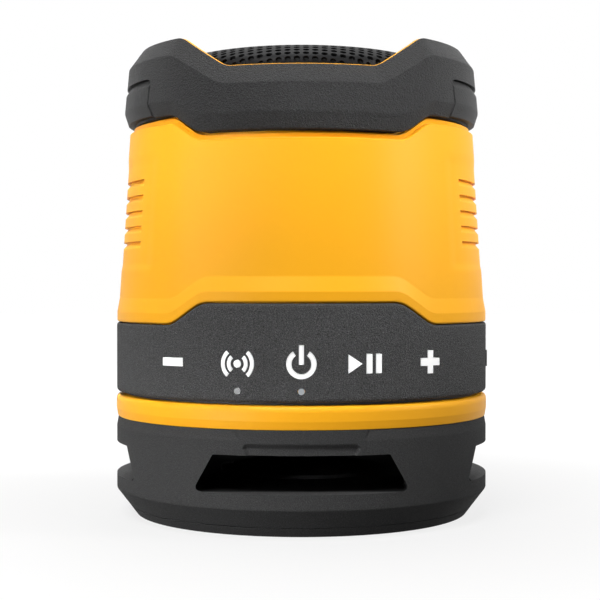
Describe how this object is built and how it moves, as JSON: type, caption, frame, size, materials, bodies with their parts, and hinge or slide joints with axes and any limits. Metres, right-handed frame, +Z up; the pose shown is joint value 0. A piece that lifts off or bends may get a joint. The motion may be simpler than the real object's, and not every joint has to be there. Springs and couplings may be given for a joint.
{
  "type": "bluetooth speaker",
  "caption": "Round portable speaker with a rubber collar, a perforated steel dome, a rubber control band with press keys and a windowed foot over a passive radiator.",
  "frame": {"origin": "centre of the underside, on the table", "axes": "+Z up along the body's axis, front with the keys towards -Y, port door towards +X"},
  "size_m": [0.11, 0.11, 0.1353],
  "materials": {
    "yellow_shell": "fine spark-eroded grain, satin",
    "collar_rubber": "coarse grain, matt",
    "band_rubber": "soft-touch, matt",
    "foot_rubber": "fine grain, satin",
    "grille_steel": "powder coated, perforated",
    "white_sign": "satin",
    "light_pipe": "clear, polished",
    "black_plastic": "moulded",
    "acoustic_cloth": "woven",
    "seal_rubber": "smooth",
    "cone_paper": "pressed fibre",
    "spider_cloth": "resin-stiffened weave",
    "copper": "enamelled wire",
    "magnet": "ferrite, matt",
    "plated_steel": "zinc plated",
    "basket_steel": "black coated",
    "cell_sleeve": "shrink sleeve",
    "circuit_board": "solder mask",
    "component_black": "moulded"
  },
  "bodies": {
    "root": {"main_shell": "yellow_shell", "top_bumper": "collar_rubber", "bumper_pad_left": "collar_rubber", "bumper_pad_right": "collar_rubber", "grille": "grille_steel", "grille_ring": "black_plastic", "dust_cloth": "acoustic_cloth", "control_band": "band_rubber", "light_pipe_pairing": "light_pipe", "light_pipe_power": "light_pipe", "key_board": "circuit_board", "tact_switches": "component_black", "indicator_leds": "light_pipe", "usb_socket": "plated_steel", "usb_board": "circuit_board", "lower_chassis": "yellow_shell", "shell_seal": "seal_rubber", "base_foot": "foot_rubber", "foot_ring": "seal_rubber", "sound_deflector": "black_plastic", "base_screws": "plated_steel", "chassis_screws": "plated_steel", "driver_baffle": "black_plastic", "driver_gasket": "seal_rubber", "driver_basket": "basket_steel", "driver_screws": "plated_steel", "driver_yoke": "plated_steel", "driver_magnet": "magnet", "driver_top_plate": "plated_steel", "driver_surround": "seal_rubber", "driver_spider": "spider_cloth", "radiator_frame": "black_plastic", "radiator_surround": "seal_rubber", "radiator_screws": "plated_steel", "battery_cells": "cell_sleeve", "battery_holder": "black_plastic", "main_board": "circuit_board", "radio_module": "plated_steel", "amplifier_chip": "component_black", "filter_coils": "component_black", "capacitors": "component_black", "board_screws": "plated_steel"},
    "volume_down_key": {"key_volume_down": "white_sign"},
    "pairing_key": {"key_pairing": "white_sign"},
    "power_key": {"key_power": "white_sign"},
    "play_pause_key": {"key_play_pause": "white_sign"},
    "volume_up_key": {"key_volume_up": "white_sign"},
    "port_cover": {"port_door": "band_rubber"},
    "driver_diaphragm": {"driver_cone": "cone_paper", "driver_dust_cap": "cone_paper", "voice_coil": "copper"},
    "radiator_diaphragm": {"radiator_plate": "black_plastic", "radiator_weight": "plated_steel"}
  },
  "joints": [
    {"name": "volume_down_press", "type": "slide", "parent": "root", "child": "volume_down_key", "axis": [0.6361, 0.7716, 0], "range_m": [0, 0.0007], "stiffness_N_per_m": 800},
    {"name": "pairing_press", "type": "slide", "parent": "root", "child": "pairing_key", "axis": [0.309, 0.9511, 0], "range_m": [0, 0.0007], "stiffness_N_per_m": 800},
    {"name": "power_press", "type": "slide", "parent": "root", "child": "power_key", "axis": [0, 1, 0], "range_m": [0, 0.0007], "stiffness_N_per_m": 800},
    {"name": "play_pause_press", "type": "slide", "parent": "root", "child": "play_pause_key", "axis": [-0.309, 0.9511, 0], "range_m": [0, 0.0007], "stiffness_N_per_m": 800},
    {"name": "volume_up_press", "type": "slide", "parent": "root", "child": "volume_up_key", "axis": [-0.6361, 0.7716, 0], "range_m": [0, 0.0007], "stiffness_N_per_m": 800},
    {"name": "port_door_hinge", "type": "hinge", "parent": "root", "child": "port_cover", "pos_m": [0.05229, 0.012, 0.04565], "axis": [0, 0, 1], "range_deg": [0, 90]},
    {"name": "driver_excursion", "type": "slide", "parent": "root", "child": "driver_diaphragm", "axis": [0, 0, 1], "range_m": [-0.0015, 0.0015], "stiffness_N_per_m": 1500, "deforming": ["driver_surround", "driver_spider"]},
    {"name": "radiator_excursion", "type": "slide", "parent": "root", "child": "radiator_diaphragm", "axis": [0, 0, 1], "range_m": [-0.002, 0.002], "stiffness_N_per_m": 1500, "deforming": ["radiator_surround"]}
  ]
}
